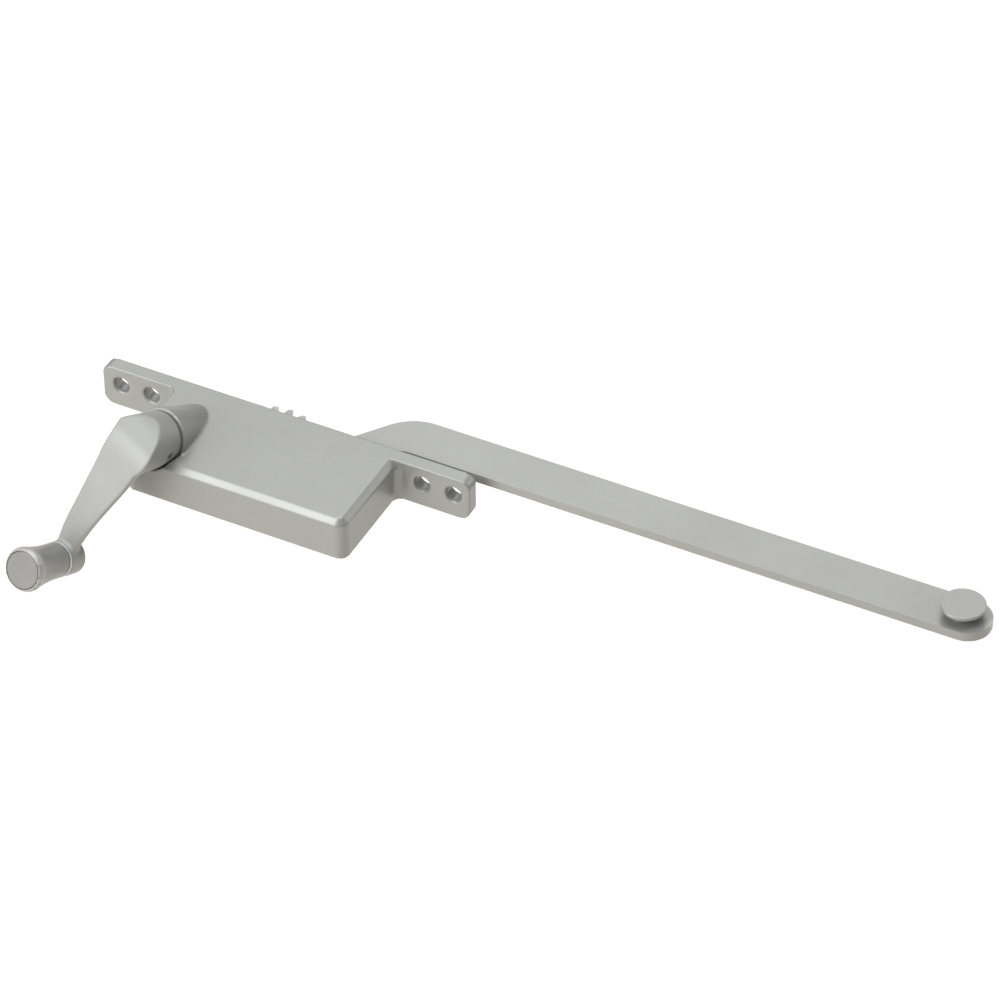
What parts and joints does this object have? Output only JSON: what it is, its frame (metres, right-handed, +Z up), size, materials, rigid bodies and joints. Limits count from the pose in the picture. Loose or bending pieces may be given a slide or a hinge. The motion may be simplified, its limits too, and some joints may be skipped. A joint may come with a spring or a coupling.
{
  "type": "casement window operator",
  "caption": "Single-arm casement window operator: die-cast gear housing with ears, crank handle with knob, dog-leg steel arm with sash button.",
  "frame": {"origin": "on the mounting face, at the bottom edge of the housing, midway between the ends of the two ears", "axes": "+Y is out of the mounting face (towards the outside of the window), +Z is up and along the arm's pivot, +X runs to the right along the ears, towards the closed arm"},
  "size_m": [0.3157, 0.1091, 0.0555],
  "materials": {
    "silver_paint": "satin silver paint on zinc die casting",
    "silver_paint_steel": "satin silver paint on steel",
    "silver_plastic": "satin silver",
    "zinc_steel": "zinc plated",
    "machined_steel": "machined, greased",
    "spring_steel": "dark spring steel",
    "black_steel": "black oxide",
    "bronze": "sintered bronze",
    "black_nylon": "moulded nylon"
  },
  "bodies": {
    "frame": {"housing": "silver_paint", "bottom_cover": "zinc_steel", "cover_screws": "zinc_steel", "pivot_pin": "zinc_steel", "pivot_upper_washer": "black_nylon", "pivot_lower_washer": "bronze", "pivot_spring_washer": "spring_steel", "worm_front_bushing": "bronze", "worm_rear_bushing": "bronze", "worm_thrust_washer": "machined_steel"},
    "arm": {"operator_arm": "silver_paint_steel", "sash_button": "silver_paint_steel", "pivot_bushing": "bronze"},
    "crank": {"worm_shaft": "machined_steel", "worm_retaining_ring": "spring_steel", "crank_handle": "silver_paint", "crank_set_screw": "black_steel", "knob_rivet": "zinc_steel", "knob_washer": "zinc_steel"},
    "knob": {"knob": "silver_plastic", "knob_end_cap": "silver_plastic"}
  },
  "joints": [
    {"name": "arm_swing", "type": "hinge", "parent": "frame", "child": "arm", "pos_m": [-0.0035, -0.016, 0.0106], "axis": [0, 0, 1], "range_deg": [0, 90]},
    {"name": "crank_turn", "type": "hinge", "parent": "frame", "child": "crank", "pos_m": [-0.0316, -0.0315, 0.018], "axis": [-0.135, -0.9035, 0.4067], "range_deg": [-2250, 0]},
    {"name": "knob_spin", "type": "hinge", "parent": "crank", "child": "knob", "pos_m": [-0.05286, -0.07495, -0.01182], "axis": [-0.135, -0.9035, 0.4067], "continuous": true}
  ],
  "couplings": [
    {"joint": "crank_turn", "follows": "arm_swing", "ratio": -25}
  ]
}
